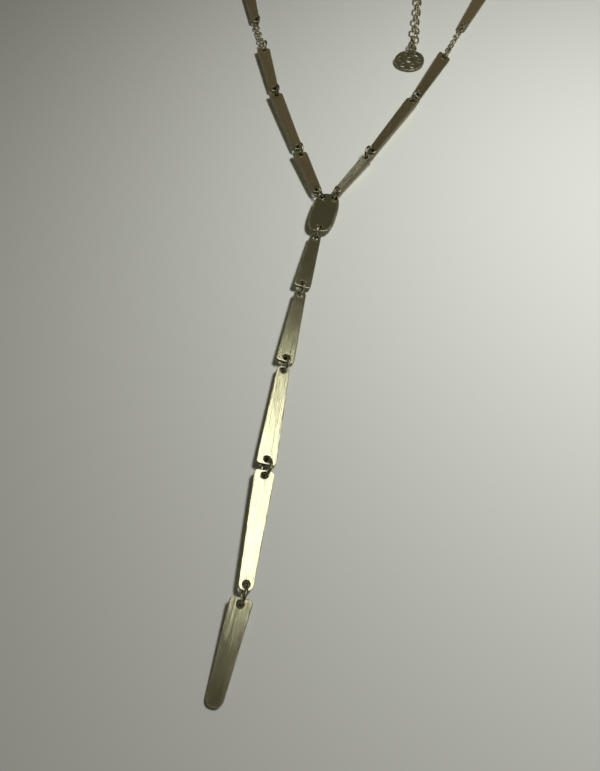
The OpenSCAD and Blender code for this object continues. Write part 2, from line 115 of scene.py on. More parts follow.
class NecklacePlates(bpy.types.PropertyGroup):
    """Sizes of the bars and of the connector"""

    wide: length("Wide end", "Width of a bar across its wide end", 4.6)
    narrow: length("Narrow end", "Width of a bar across its narrow end", 3.0)
    tip: length("Round end", "Width of the last bar at its round end", 3.2)
    thickness: length("Bar thickness", "Thickness of every bar", 1.0)
    wide_corner: length("Wide corner", "Corner radius at a wide end", 0.9)
    narrow_corner: length("Narrow corner", "Corner radius at a narrow end", 1.2)
    tip_corner: length("Round end corner", "Corner radius at the round end", 1.4)
    edge: length("Edge", "Radius of the softened edges", 0.15)
    hole: length("Hole", "Diameter of the ring holes", 1.71)
    hole_in: length("Hole inset", "From a bar's end to the middle of its hole", 1.2552)
    hole_edge: length("Hole edge", "Radius of the softened edge of a hole", 0.06)
    oval_width: length("Connector width", "Width of the oval connector", 7.4)
    oval_length: length("Connector length", "Length of the oval connector", 14.6)
    oval_thickness: length("Connector thickness", "Thickness of the oval connector", 1.2)
    oval_pair: length("Upper holes", "Distance between the connector's upper holes", 3.5)
    oval_low: length("Lower hole inset", "From the connector's lower end to its hole", 1.4)
    oval_high: length("Upper hole inset", "From the connector's upper end to its holes", 1.55)


class NecklaceCharm(bpy.types.PropertyGroup):
    """Sizes of the disc at the extender's free end"""

    across: length("Disc", "Diameter of the charm's disc", 10)
    thickness: length("Disc thickness", "Thickness of the charm's disc", 0.9)
    edge: length("Edge", "Radius of the softened edges", 0.1)
    middle: length("Middle hole", "Diameter of the hole in the middle", 2.4)
    pierced: length("Pierced hole", "Diameter of the holes round it", 1.9)
    ring: length("Ring of holes", "Radius of the circle that these holes lie on", 3.25)
    loop_out: length("Loop", "From the middle of the disc to the middle of its loop", 6.15)


class NecklaceWires(bpy.types.PropertyGroup):
    """Sizes of the rings, links and clasp"""

    ring: length("Ring", "Outer diameter of a jump ring", 4.6)
    end_ring: length("End ring", "Outer diameter of the ring that the clasp closes on", 5.2)
    charm_ring: length("Charm ring", "Outer diameter of the ring that holds the charm", 4.2)
    ring_wire: length("Ring wire", "Wire diameter of the rings", 0.7)
    seam: length("Seam", "Width of the cut where a jump ring closes", 0.04)
    link: length("Fine link", "Length of a fine link over its wire", 2.75)
    link_width: length("Fine link width", "Width of a fine link over its wire", 2.0)
    link_wire: length("Fine wire", "Wire diameter of a fine link", 0.45)
    extender: length("Extender link", "Length of an extender link over its wire", 4.9)
    extender_width: length("Extender link width", "Width of an extender link over its wire", 3.3)
    extender_wire: length("Extender wire", "Wire diameter of an extender link", 0.65)
    clasp: length("Clasp", "Outer diameter of the ring clasp", 6.6)
    clasp_wire: length("Clasp wire", "Wire diameter of the ring clasp", 1.0)
    eyelet: length("Eyelet", "Outer diameter of the eyelet and of the charm's loop", 3.0)
    eyelet_wire: length("Eyelet wire", "Wire diameter of the eyelet and of the charm's loop", 0.7)
    around: IntProperty(name="Round a ring", description="Faces round the wire of a ring", default=16,
                        min=8, max=32)
    around_link: IntProperty(name="Round a link", description="Faces round the wire of a link", default=12,
                             min=8, max=32)


class NecklaceMetal(bpy.types.PropertyGroup):
    """Colours and finish of the metal"""

    gold: colour("Plate gold", "Colour of the brushed plates", (0.80, 0.79, 0.53))
    shade: colour("Streak gold", "Colour of the darker brushed streaks", (0.60, 0.57, 0.34))
    # painted shade: a dark colour for the plates' side walls, holes and rims, standing in for the shade they
    # lie in
    worn: colour("Rim gold", "Colour of the plates' side walls and holes", (0.15, 0.12, 0.07))
    wire: colour("Wire gold", "Colour of the rings and chains", (0.74, 0.70, 0.50))
    tarnish: colour("Tarnish", "Colour of the dull places on the wires", (0.11, 0.09, 0.05))
    plate_rough: share("Plate roughness", "Roughness of the brushed plates", 0.18)
    wire_rough: share("Wire roughness", "Roughness of the polished wires", 0.15)
    streak: share("Brushing", "How dark the brushed streaks look", 0.4)
    groove: length("Groove", "Depth of the brushed grooves", 0.06)


class NecklaceStage(bpy.types.PropertyGroup):
    """The surface, the lamps and the room"""

    surface: colour("Surface", "Colour of the surface under the necklace", (0.78, 0.80, 0.76))
    lamp: power("Lamp", "Power of the lamp that lights the surface", 0.49)
    lamp_width: length("Lamp width", "Width of the lamp", 50)
    lamp_length: length("Lamp length", "Length of the lamp", 80)
    panel: power("Panel", "Power of the soft panel that the plates mirror", 0.235)
    panel_width: length("Panel width", "Width of the soft panel", 200)
    panel_length: length("Panel length", "Length of the soft panel", 215)
    card: power("Card", "Power of the warm card that the side plates mirror", 0.016)
    card_width: length("Card width", "Width of the warm card", 560)
    card_height: length("Card height", "Height of the warm card", 190)
    card_colour: colour("Card colour", "Colour of the warm card", (1.0, 0.69, 0.42))
    air: colour("Room", "Light of the room round the lamp", (0.058, 0.051, 0.040))


# ---------------------------------------------------------------- curves and surfaces


def line(a, b, steps):
    """Points evenly from a towards b, with b left out."""
    s = np.arange(steps)[:, None] / steps
    return np.asarray(a, float) + s * (np.asarray(b, float) - np.asarray(a, float))


ARC_POINTS = 11
END_STEPS = 4


def right_half(size, near_w, far_w, near_r, far_r, inset, reach, rows):
    """Right half of a tapered outline, from the middle of the near end to the middle of the far one.

    The side leans by tau = atan((far - near) / 2 / length). A corner is the arc centre + r (cos a, sin a)
    that touches the end and the side, and the curve is drawn in by inset along its normal (cos a, sin a).
    Returns the points, their normals, and the two places where the side passes `reach` from the ends."""
    tau = math.atan((far_w - near_w) / 2 / size)
    side = np.array([math.cos(tau), -math.sin(tau)])

    def corner(w, r, sign):
        centre = np.array([w / 2 - sign * r * math.tan(tau) - r / math.cos(tau), sign * (size / 2 - r)])
        a = np.linspace(-tau, sign * math.pi / 2, ARC_POINTS)
        out = np.stack([np.cos(a), np.sin(a)], 1)
        return centre, centre + (r - inset) * out, out

    near_c, near_arc, near_out = corner(near_w, near_r, -1)
    far_c, far_arc, far_out = corner(far_w, far_r, 1)
    a, b = near_arc[0], far_arc[0]

    def at(y):
        return a + (b - a) * (y - a[1]) / (b[1] - a[1])

    cuts = [at(reach - size / 2), at(size / 2 - reach)]
    near_end = line([0, -size / 2 + inset], near_arc[-1], END_STEPS)
    lower = line(a, cuts[0], END_STEPS)
    middle = line(cuts[0], cuts[1], rows)
    upper = line(cuts[1], b, END_STEPS)
    far_end = line(far_arc[-1], [0, size / 2 - inset], END_STEPS)[1:]
    sides = len(lower) + len(middle) + len(upper)
    points = np.concatenate([near_end, near_arc[::-1], lower[1:], middle, upper[1:], far_arc, far_end,
                             [[0, size / 2 - inset]]])
    normals = np.concatenate([np.tile([0, -1], (len(near_end), 1)), near_out[::-1],
                              np.tile(side, (sides - 2, 1)), far_out,
                              np.tile([0, 1], (len(far_end) + 1, 1))])
    first = len(near_end) + len(near_arc) + len(lower) - 1
    return points, normals, (first, first + rows)


def mirrored(points):
    """The same points on the left."""
    return points * np.array([-1, 1])


def zone(centre, radius, edge, steps):
    """Grid between a round hole and the closed curve round it: (1 - s) hole + s edge."""
    way = edge - centre
    hole = centre + radius * way / np.linalg.norm(way, axis=1, keepdims=True)
    return hole[:, None] + steps[None, :, None] * (edge - hole)[:, None]


# Steps of a face's grid, close together at both sides so that the flat part shades flat
STEPS = np.array([0, 0.04, 0.3, 0.7, 0.96, 1])


def quads(rows, columns, closed):
    """Corner indices of the quads of a grid, closed along its rows if asked, as pairs of triangles."""
    i = np.arange(rows if closed else rows - 1)[:, None]
    j = np.arange(columns - 1)[None]
    a, b = i * columns + j, (i + 1) % rows * columns + j
    return np.stack([np.stack([a, b, b + 1], -1), np.stack([a, b + 1, a + 1], -1)], -2).reshape(-1, 3)


# Points that agree when counted in these steps per metre are one
WELD_STEPS = 1e7


class Shell:
    """Grids of points with a UV of their own, welded into one closed surface."""

    def __init__(self):
        self.points, self.uvs, self.wear, self.faces, self.count = [], [], [], [], 0

    def grid(self, points, uv, wear=0.0, closed=False):
        """points (rows, columns, 3), uv (rows, columns, 2), and how much painted shade each point gets"""
        rows, columns = points.shape[:2]
        self.faces.append(quads(rows, columns, closed) + self.count)
        self.points.append(points.reshape(-1, 3))
        self.uvs.append(np.broadcast_to(uv, (rows, columns, 2)).reshape(-1, 2))
        self.wear.append(np.broadcast_to(wear, (rows, columns)).reshape(-1))
        self.count += rows * columns

    def mesh(self, name):
        """The grids as one mesh, with points that meet welded and faces without area left out."""
        points, uvs, wear = np.concatenate(self.points), np.concatenate(self.uvs), np.concatenate(self.wear)
        faces = np.concatenate(self.faces)
        _, first, back = np.unique(np.round(points * WELD_STEPS).astype(np.int64), axis=0, return_index=True,
                                   return_inverse=True)
        joined = back.reshape(-1)[faces]
        kept = (joined != np.roll(joined, 1, axis=1)).all(1)
        joined, corners = joined[kept], faces[kept].reshape(-1)
        mesh = bpy.data.meshes.new(name)
        mesh.vertices.add(len(first))
        mesh.vertices.foreach_set("co", points[first].astype(np.float32).ravel())
        mesh.loops.add(joined.size)
        mesh.loops.foreach_set("vertex_index", joined.astype(np.int32).ravel())
        mesh.polygons.add(len(joined))
        mesh.polygons.foreach_set("loop_start", np.arange(0, joined.size, 3, dtype=np.int32))
        mesh.polygons.foreach_set("use_smooth", np.ones(len(joined), bool))
        mesh.update(calc_edges=True)
        mesh.uv_layers.new(name="along").data.foreach_set("uv", uvs[corners].astype(np.float32).ravel())
        # the mask of painted shade, which the plate material reads
        layer = mesh.attributes.new("wear", "FLOAT", "POINT")
        layer.data.foreach_set("value", wear[first].astype(np.float32))
        return mesh


def outward(mesh):
    """Turns every face of a closed mesh outwards."""
    work = bmesh.new()
    work.from_mesh(mesh)
    bmesh.ops.recalc_face_normals(work, faces=work.faces)
    work.to_mesh(mesh)
    work.free()
    return mesh


# ---------------------------------------------------------------- places read from the CAD nodes


# Decimals of a metre to which CAD vertices that meet agree
DECIMALS = 7


def vertices_of(mesh):
    """The vertices of a CAD mesh, rounded so that those that meet are equal."""
    co = np.zeros(len(mesh.vertices) * 3)
    mesh.vertices.foreach_get("co", co)
    return np.round(co.reshape(-1, 3), DECIMALS)


def node_points(node):
    """Every distinct vertex of a CAD node, in the shared frame."""
    return np.unique(vertices_of(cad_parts[node].data), axis=0)


def lie(points):
    """Middle of a piece and its axes across, along and through it.

    The axes are the eigenvectors of the covariance of its points, smallest spread first, and the
    middle is the middle of its extents along them."""
    mean = points.mean(0)
    _, axes = np.linalg.eigh(np.cov((points - mean).T))
    through, along = axes[:, 0], axes[:, 2]
    local = (points - mean) @ axes
    middle = mean + axes @ ((local.min(0) + local.max(0)) / 2)
    if through[2] < 0:
        through = -through
    if along @ middle < 0:
        along = -along
    return middle, np.stack([np.cross(along, through), along, through])


def placed(local, middle, axes):
    """Points of a piece's own frame in the shared one."""
    return middle + local @ axes


def loose_parts(node):
    """The distinct points of each loose solid of a node.

    Each triangle gives its corners the smallest label among them, and the labels are followed to
    their roots until nothing changes."""
    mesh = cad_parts[node].data
    corner = np.zeros(len(mesh.loops), np.int32)
    mesh.loops.foreach_get("vertex_index", corner)
    points, back = np.unique(vertices_of(mesh), axis=0, return_inverse=True)
    faces = back.reshape(-1)[corner].reshape(-1, 3)
    label = np.arange(len(points))
    while True:
        least = label[faces].min(1)
        fresh = label.copy()
        for k in range(3):
            np.minimum.at(fresh, faces[:, k], least)
        fresh = fresh[fresh]
        if (fresh == label).all():
            break
        label = fresh
    return [points[label == k] for k in np.unique(label)]


# ---------------------------------------------------------------- plates


EDGE_POINTS = 5
WALL_ONLY = 12
UV_PER_METRE = 100.0
# Moves each piece to its own part of the noise
UV_SHIFT = np.array([0.37, 0.61])
# How much painted shade a face gets, standing in for the shade round its holes and along its rims: at each of
# STEPS from a hole or from a rim
HOLE_SHADE = np.array([0.15, 0.25, 0, 0, 0, 0])
RIM_SIDE = np.array([0, 0, 0, 0.1, 1, 0])
RIM_SHARE = 0.3


def edge_profile(half, radius):
    """Offsets outwards and heights down a rounded rim: a quarter circle at each face, a wall between."""
    a = np.linspace(0, math.pi / 2, EDGE_POINTS)
    out, up = radius * np.sin(a), half - radius * (1 - np.cos(a))
    return np.concatenate([out, out[::-1]]), np.concatenate([up, -up[::-1]])


def rim(shell, inset, normals, half, radius, uv_scale, place):
    """Carries the rounded edge profile round a closed curve of a plate, with painted shade on the wall.

    The painted shade is (offset / radius) to a high power, so it leaves the rounding bright."""
    out, height = edge_profile(half, radius)
    flat = inset[:, None] + out[None, :, None] * normals[:, None]
    points = np.concatenate([flat, np.broadcast_to(height[None, :, None], (*flat.shape[:2], 1))], 2)
    # painted shade: darkens the wall of the rim, standing in for its shade
    worn = np.broadcast_to((out / radius)[None] ** WALL_ONLY, flat.shape[:2])
    shell.grid(placed(points, *place), flat * uv_scale[0] + uv_scale[1], worn, closed=True)


def faces_of(shell, flat, half, uv_scale, place, wear, closed):
    """The same grid of points on both faces of a plate."""
    for z in (half, -half):
        points = np.concatenate([flat, np.full((*flat.shape[:2], 1), z)], 2)
        shell.grid(placed(points, *place), flat * uv_scale[0] + uv_scale[1], wear, closed=closed)


def plate_shell(zones, middle, outline, normals, holes, thickness, edge, hole_edge, place, number):
    """A flat plate with rounded rims.

    zones are its faces round its holes, middle the grid between them if it has one, outline and
    normals its rim, and holes the walls of its holes."""
    shell = Shell()
    half = thickness / 2
    uv_scale = (UV_PER_METRE, UV_SHIFT * number)
    for centre, radius, boundary, on_rim in zones:
        # painted shade near the rim and round each hole
        worn = np.where(on_rim, RIM_SHARE, 0.0)[:, None] * RIM_SIDE[None] + HOLE_SHADE[None] * (radius > 0)
        faces_of(shell, zone(centre, radius, boundary, STEPS), half, uv_scale, place, worn, True)
    if middle is not None:
        faces_of(shell, middle, half, uv_scale, place, COLUMN_SHADE[None], False)
    rim(shell, outline, normals, half, edge, uv_scale, place)
    for centre, radius, directions in holes:
        curve = centre + (radius + hole_edge) * directions
        rim(shell, curve, -directions, half, hole_edge, uv_scale, place)
    return shell


def directions_to(boundary, centre):
    """Unit directions from a point to the points of a curve round it."""
    way = boundary - centre
    return way / np.linalg.norm(way, axis=1, keepdims=True)


# Across the middle of a plate as shares of its half width, close together at its rims
COLUMNS = np.array([-1, -0.97, -0.8, -0.45, 0, 0.45, 0.8, 0.97, 1.0])
# painted shade near the rims of the middle grid
COLUMN_SHADE = RIM_SHARE * np.array([0, 1, 0, 0, 0, 0, 0, 1, 0])
ACROSS = np.stack([COLUMNS, np.ones_like(COLUMNS)], 1)
MIDDLE_ROWS = 16
# How far an end zone reaches: along a bar as a multiple of the hole's inset, and along the
# connector as one of the hole's radius
BAR_REACH = 2.6
OVAL_REACH = 1.9


def bar_shell(node, sizes, number):
    """A tapered bar: an end zone round each hole, a grid between them and a rounded rim."""
    size, kind = BARS[node]
    size *= MM
    wide, narrow = (sizes.wide, sizes.wide_corner), (sizes.narrow, sizes.narrow_corner)
    round_end = (sizes.tip, sizes.tip_corner)
    near, far = {WIDENING: (narrow, wide), NARROWING: (wide, narrow), TIPPED: (wide, round_end)}[kind]
    half, out, (first, second) = right_half(size, near[0], far[0], near[1], far[1], sizes.edge,
                                            BAR_REACH * sizes.hole_in, MIDDLE_ROWS)
    cross_near, cross_far = half[first] * ACROSS, half[second] * ACROSS
    foot, head = half[: first + 1], half[second:]
    lower = np.concatenate([foot, cross_near[::-1][1:-1], mirrored(foot)[::-1][:-1]])
    upper = np.concatenate([head, mirrored(head)[::-1][1:], cross_far[1:-1]])
    inner = len(COLUMNS) - 2
    lower_rim, upper_rim = np.ones(len(lower), bool), np.ones(len(upper), bool)
    lower_rim[first + 1: first + 1 + inner] = False
    upper_rim[-inner:] = False
    hole = sizes.hole / 2
    wall = hole + sizes.hole_edge
    near_hole = np.array([0, sizes.hole_in - size / 2])
    far_hole = np.array([0, size / 2 - sizes.hole_in])
    zones = [(near_hole, wall, lower, lower_rim), (far_hole, wall, upper, upper_rim)]
    holes = [(near_hole, hole, directions_to(lower, near_hole)),
             (far_hole, hole, directions_to(upper, far_hole))]
    if kind == TIPPED:
        zones[1] = (far_hole, 0.0, upper, upper_rim)
        holes.pop()
    middle = half[first: second + 1][:, None] * ACROSS[None]
    outline = np.concatenate([half, mirrored(half)[::-1][1:-1]])
    normals = np.concatenate([out, mirrored(out)[::-1][1:-1]])
    return plate_shell(zones, middle, outline, normals, holes, sizes.thickness, sizes.edge,
                       sizes.hole_edge, lie(node_points(node)), number)


OVAL_POWER = 3
OVAL_POINTS = 96
CENTRE_STEPS = 6


def oval(width, size):
    """Superellipse |x / a|^n + |y / b|^n = 1 from a = angle, with its outward normals."""
    a = np.linspace(0, 2 * math.pi, OVAL_POINTS, endpoint=False)
    c, s = np.cos(a), np.sin(a)
    c[[OVAL_POINTS // 4, 3 * OVAL_POINTS // 4]] = 0
    x = width / 2 * np.sign(c) * np.abs(c) ** (2 / OVAL_POWER)
    y = size / 2 * np.sign(s) * np.abs(s) ** (2 / OVAL_POWER)
    slope = np.stack([np.sign(x) * np.abs(2 * x / width) ** (OVAL_POWER - 1) / width,
                      np.sign(y) * np.abs(2 * y / size) ** (OVAL_POWER - 1) / size], 1)
    return np.stack([x, y], 1), slope / np.linalg.norm(slope, axis=1, keepdims=True)


def connector_shell(sizes, number):
    """The oval plate: a zone round each of its three holes, a grid between, and a rounded rim."""
    size = sizes.oval_length
    outline, normals = oval(sizes.oval_width, size)
    inset = outline - sizes.edge * normals
    low = np.array([0, sizes.oval_low - size / 2])
    high = np.array([sizes.oval_pair / 2, size / 2 - sizes.oval_high])
    hole = sizes.hole / 2
    wall = hole + sizes.hole_edge
    # The right side of the outline, upwards, is cut level with its own points
    right = inset[inset[:, 0] > TINY]
    right = right[np.argsort(right[:, 1])]
    cut_low = right[np.searchsorted(right[:, 1], low[1] + OVAL_REACH * wall)]
    cut_high = right[np.searchsorted(right[:, 1], high[1] - OVAL_REACH * wall)]
    cross_low, cross_high = cut_low * ACROSS, cut_high * ACROSS
    side = right[(right[:, 1] >= cut_low[1]) & (right[:, 1] <= cut_high[1])]
    below, above = right[right[:, 1] <= cut_low[1]], right[right[:, 1] >= cut_high[1]]
    crest = np.array([[0, size / 2 - sizes.edge]])
    lower = np.concatenate([-crest, below, cross_low[::-1][1:-1], mirrored(below)[::-1]])
    centre_line = line([0, cut_high[1]], crest[0], CENTRE_STEPS)
    upper = np.concatenate([above, crest, centre_line[::-1], cross_high[COLUMNS > 0][:-1]])
    zones = [(low, wall, lower, np.abs(lower[:, 1] - cut_low[1]) > TINY)]
    holes = [(low, hole, directions_to(lower, low))]
    for edge, centre in ((upper, high), (mirrored(upper), mirrored(high))):
        on_rim = (np.abs(edge[:, 0]) > TINY) & (np.abs(edge[:, 1] - cut_high[1]) > TINY)
        zones.append((centre, wall, edge, on_rim))
        holes.append((centre, hole, directions_to(edge, centre)))
    return plate_shell(zones, side[:, None] * ACROSS[None], inset, normals, holes, sizes.oval_thickness,
                       sizes.edge, sizes.hole_edge, lie(node_points("connector")), number)


# ---------------------------------------------------------------- wires


def tube(shell, path, side, up, wire, around, closed, number, place):
    """Carries a circle along a path: path + r (cos a side + sin a up), with flat ends if it is open."""
    a = np.linspace(0, 2 * math.pi, around + 1)
    ring = np.cos(a)[None, :, None] * side[:, None] + np.sin(a)[None, :, None] * up[:, None]
    points = path[:, None] + wire / 2 * ring
    run = np.concatenate([[0], np.cumsum(np.linalg.norm(np.diff(path, axis=0), axis=1))])
    uv = np.stack(np.broadcast_arrays(run[:, None], a[None] * wire / 2), -1) * UV_PER_METRE
    uv = uv + UV_SHIFT * [number, 0]
    shell.grid(placed(points, *place), uv, 0.0, closed=closed)
    if not closed:
        for row in (0, -1):
            cap = np.stack([points[row], np.broadcast_to(path[row], points[row].shape)], 0)
            shell.grid(placed(cap, *place), uv[:2] * 0, 1.0)


def circle_path(radius, start, turn, steps, closed):
    """Points round a circle in the XY plane, with the directions out of it and through it."""
    a = start + np.linspace(0, turn, steps, endpoint=not closed)
    out = np.stack([np.cos(a), np.sin(a), np.zeros_like(a)], 1)
    return radius * out, out, np.tile([0.0, 0, 1], (len(a), 1))


LINK_POINTS = 13


def link_path(size, width, wire, turns):
    """Centre line of an oval link: two half circles of radius r joined by straight sides."""
    r, half = (width - wire) / 2, (size - width) / 2
    a = np.linspace(-math.pi / 2, math.pi / 2, turns)
    out = np.stack([np.zeros_like(a), np.cos(a), np.sin(a)], 1)[:, [2, 1, 0]]
    arc = r * out + np.array([0, half, 0])
    path = np.concatenate([arc, -arc])
    return path, np.concatenate([out, -out]), np.tile([0.0, 0, 1], (len(path), 1))


WIDEST = 0.8


def loop_on_rim(node, body, loop_out, loop):
    """Place of a round piece with a loop on its rim: the middle of the body, with +Y towards the loop.

    The piece reaches body from its middle one way and loop_out + loop the other, so its middle lies
    half their difference away, and its widest points lie on the body's side."""
    points = node_points(node)
    middle, axes = lie(points)
    local = (points - middle) @ axes.T
    wide = np.abs(local[:, 0]) > WIDEST * np.abs(local[:, 0]).max()
    if local[wide, 1].mean() > 0:
        axes = axes * np.array([[-1], [-1], [1]])
    return middle - (loop_out + loop - body) / 2 * axes[1], axes


RING_STEPS = 72


def wire_circle(shell, across, wire, around, shift, place):
    """A closed ring of wire round a point of the piece's own +Y axis."""
    path, out, through = circle_path((across - wire) / 2, 0, 2 * math.pi, RING_STEPS, True)
    tube(shell, path + np.array([0, shift, 0]), out, through, wire, around, True, shift / MM, place)


HOLES_ROUND = 6
SECTOR_STEPS = 16
SIDE_STEPS = 8
CHARM_NUMBER = 15


def charm_shell(sizes, wires):
    """A disc of equal sectors, each a zone round its own hole, with rounded rims and a loop of wire.

    A sector's boundary runs out along one side, round the rim, in along the other side and back
    round the middle hole."""
    place = loop_on_rim("end_charm", sizes.across / 2, sizes.loop_out, wires.eyelet / 2)
    inner, outer = sizes.middle / 2 + sizes.edge, sizes.across / 2 - sizes.edge
    half = math.pi / HOLES_ROUND

    def ray(a):
        return np.stack([np.cos(a), np.sin(a)], -1)

    zones, holes, outline = [], [], []
    for number in range(HOLES_ROUND):
        first, last = (2 * number - 1) * half, (2 * number + 1) * half
        arc = ray(np.linspace(first, last, SECTOR_STEPS + 1))
        boundary = np.concatenate([line(inner * arc[0], outer * arc[0], SIDE_STEPS), outer * arc[:-1],
                                   line(outer * arc[-1], inner * arc[-1], SIDE_STEPS),
                                   (inner * arc[::-1])[:-1]])
        level = np.linalg.norm(boundary, axis=1)
        centre = sizes.ring * ray(np.array((first + last) / 2))
        zones.append((centre, sizes.pierced / 2 + sizes.edge, boundary, np.abs(level - outer) < TINY))
        holes.append((centre, sizes.pierced / 2, directions_to(boundary, centre)))
        outline.append(arc[:-1])
    rays = np.concatenate(outline)
    holes.append((np.zeros(2), sizes.middle / 2, rays))
    shell = plate_shell(zones, None, outer * rays, rays, holes, sizes.thickness, sizes.edge, sizes.edge,
                        place, CHARM_NUMBER)
    wire_circle(shell, wires.eyelet, wires.eyelet_wire, wires.around, sizes.loop_out, place)
    return shell


def clasp_shell(wires):
    """A plain ring of wire with a small eyelet standing on its rim."""
    out = (wires.clasp - wires.clasp_wire + wires.eyelet - wires.eyelet_wire) / 2
    place = loop_on_rim("ring_clasp", wires.clasp / 2, out, wires.eyelet / 2)
    shell = Shell()
    wire_circle(shell, wires.clasp, wires.clasp_wire, wires.around, 0.0, place)
    wire_circle(shell, wires.eyelet, wires.eyelet_wire, wires.around, out, place)
    return shell


# ---------------------------------------------------------------- materials


class Number:
    """A socket used as a number: an expression on numbers adds its Math nodes."""

    def __init__(self, paint, socket):
        self.paint, self.socket = paint, socket

    def _do(self, operation, a, b):
        return self.paint.node("ShaderNodeMath", {"operation": operation}, {0: a, 1: b})

    def __add__(self, other):
        return self._do("ADD", self, other)

    def __sub__(self, other):
        return self._do("SUBTRACT", self, other)

    def __rsub__(self, other):
        return self._do("SUBTRACT", other, self)

    def __mul__(self, other):
        return self._do("MULTIPLY", self, other)

    __radd__, __rmul__ = __add__, __mul__


# The colour sockets of a Mix node, which share their names with its other sockets
MIX_A, MIX_B, MIX_RESULT = 6, 7, 2


class Paint:
    """A material's nodes."""

    def __init__(self, name):
        self.material = bpy.data.materials.new(name)
        self.material.use_nodes = True
        self.tree = self.material.node_tree
        self.tree.nodes.clear()

    def node(self, kind, settings=None, inputs=None, output=0):
        """One node: its settings first, then the value or link of each named or numbered socket."""
        made = self.tree.nodes.new(kind)
        for key, value in (settings or {}).items():
            setattr(made, key, value)
        for key, value in (inputs or {}).items():
            socket = made.inputs[key]
            if isinstance(value, Number):
                self.tree.links.new(value.socket, socket)
            else:
                socket.default_value = (*value, 1) if socket.type == "RGBA" else value
        return Number(self, made.outputs[output]) if made.outputs else None

    def mix(self, factor, a, b):
        """a where factor is 0, b where it is 1, as colours"""
        return self.node("ShaderNodeMix", {"data_type": "RGBA"}, {"Factor": factor, MIX_A: a, MIX_B: b},
                         output=MIX_RESULT)

    def noise(self, where, scale, detail=2.0, rough=0.5, stretch=1.0):
        """Noise from 0 to 1, drawn out along the second axis where stretch is small."""
        moved = self.node("ShaderNodeMapping", {"vector_type": "POINT"},
                          {"Vector": where, "Scale": (1.0, stretch, 1.0)})
        return self.node("ShaderNodeTexNoise", {},
                         {"Vector": moved, "Scale": scale, "Detail": detail, "Roughness": rough})

    def bump(self, height, distance, strength):
        """The normal over a height from 0 to 1"""
        return self.node("ShaderNodeBump", {}, {"Strength": strength, "Distance": distance, "Height": height})

    def band(self, value, low, high):
        """0 below low, 1 above high, straight between"""
        return self.node("ShaderNodeMapRange", {"clamp": True},
                         {"Value": value, "From Min": low, "From Max": high})

    def surface(self, **inputs):
        """Ends the material in one principled shader."""
        named = {name.replace("_", " "): value for name, value in inputs.items()}
        shader = self.node("ShaderNodeBsdfPrincipled", {}, named)
        self.node("ShaderNodeOutputMaterial", {}, {"Surface": shader})
        return self.material


# Noise on the plates, per centimetre of their own UV: the scale, and the share of it that is left
# along a bar
FINE_BRUSH, FINE_ALONG = 95.0, 0.008
COARSE_BRUSH, COARSE_ALONG = 22.0, 0.015
CLOUDS = 2.2
# Shares of the fine and the coarse brushing in the streaks, and in the grooves
STREAK_FINE, STREAK_COARSE = 0.6, 0.4
GROOVE_FINE, GROOVE_COARSE = 0.8, 0.7
# Between these noise values a streak sets in, and between these values of the mask the painted shade does
STREAK_BAND = (0.36, 0.66)
SHADE_BAND = (0.3, 1.0)
# What the clouds add to the mask of painted shade, and how much of the metal the painted shade hides
CLOUD_SHADE, SHADE_HIDES = 0.3, 0.9
# What the brushing, the clouds and the painted shade add to the roughness
BRUSH_ROUGH, CLOUD_ROUGH, SHADE_ROUGH = 0.06, 0.08, 0.25
# Noise on the wires, per metre, with the detail and roughness of its clouds
WIRE_CLOUDS, WIRE_DETAIL, WIRE_RAGGED = 900.0, 3.0, 0.6
WIRE_GRAIN, GRAIN_DEPTH, GRAIN_STRENGTH = 6000.0, 0.01 * MM, 0.2
# Between these noise values a wire turns dull, and how dark and how much rougher it gets
DULL_BAND = (0.7, 1.0)
DULL_DARK, DULL_ROUGH, GRAIN_ROUGH = 0.9, 0.16, 0.06
# Share of the rings and of the chains that is dull
RINGS_DULL, CHAINS_DULL = 0.42, 0.16


def brushed_plate(metal):
    """Gold plate brushed along each bar, with painted shade on its side walls, round its holes and along its
    rims.
    """
    paint = Paint("brushed_plate")
    along = paint.node("ShaderNodeUVMap", {"uv_map": "along"})
    wear = paint.node("ShaderNodeAttribute", {"attribute_name": "wear"}, output="Fac")
    fine = paint.noise(along, FINE_BRUSH, stretch=FINE_ALONG)
    coarse = paint.noise(along, COARSE_BRUSH, stretch=COARSE_ALONG)
    cloud = paint.noise(along, CLOUDS)
    streak = paint.band(fine * STREAK_FINE + coarse * STREAK_COARSE, *STREAK_BAND)
    tone = paint.mix(streak * metal.streak, metal.gold, metal.shade)
    # painted shade: the dark rim colour over walls, holes and rims, patchy with clouds, standing in for their
    # shade
    shade_cover = paint.band(wear + cloud * CLOUD_SHADE, *SHADE_BAND)
    tone = paint.mix(shade_cover, tone, metal.worn)
    rough = coarse * BRUSH_ROUGH + cloud * CLOUD_ROUGH + shade_cover * SHADE_ROUGH
    rough = rough + (metal.plate_rough - (BRUSH_ROUGH + CLOUD_ROUGH) / 2)
    bump = paint.bump(fine * GROOVE_FINE + coarse * GROOVE_COARSE, metal.groove, 1.0)
    return paint.surface(Base_Color=tone, Metallic=1.0 - shade_cover * SHADE_HIDES, Roughness=rough, Normal=bump)


def gold_wire(metal, name, brown):
    """Gold wire, polished, with dull brown places over a share of it."""
    paint = Paint(name)
    place = paint.node("ShaderNodeTexCoord", output="Object")
    cloud = paint.noise(place, WIRE_CLOUDS, WIRE_DETAIL, WIRE_RAGGED)
    grain = paint.noise(place, WIRE_GRAIN)
    dull = paint.band(cloud + brown, *DULL_BAND)
    tone = paint.mix(dull * DULL_DARK, metal.wire, metal.tarnish)
    rough = dull * DULL_ROUGH + grain * GRAIN_ROUGH + (metal.wire_rough - GRAIN_ROUGH / 2)
    bump = paint.bump(grain, GRAIN_DEPTH, GRAIN_STRENGTH)
    return paint.surface(Base_Color=tone, Metallic=1.0, Roughness=rough, Normal=bump)


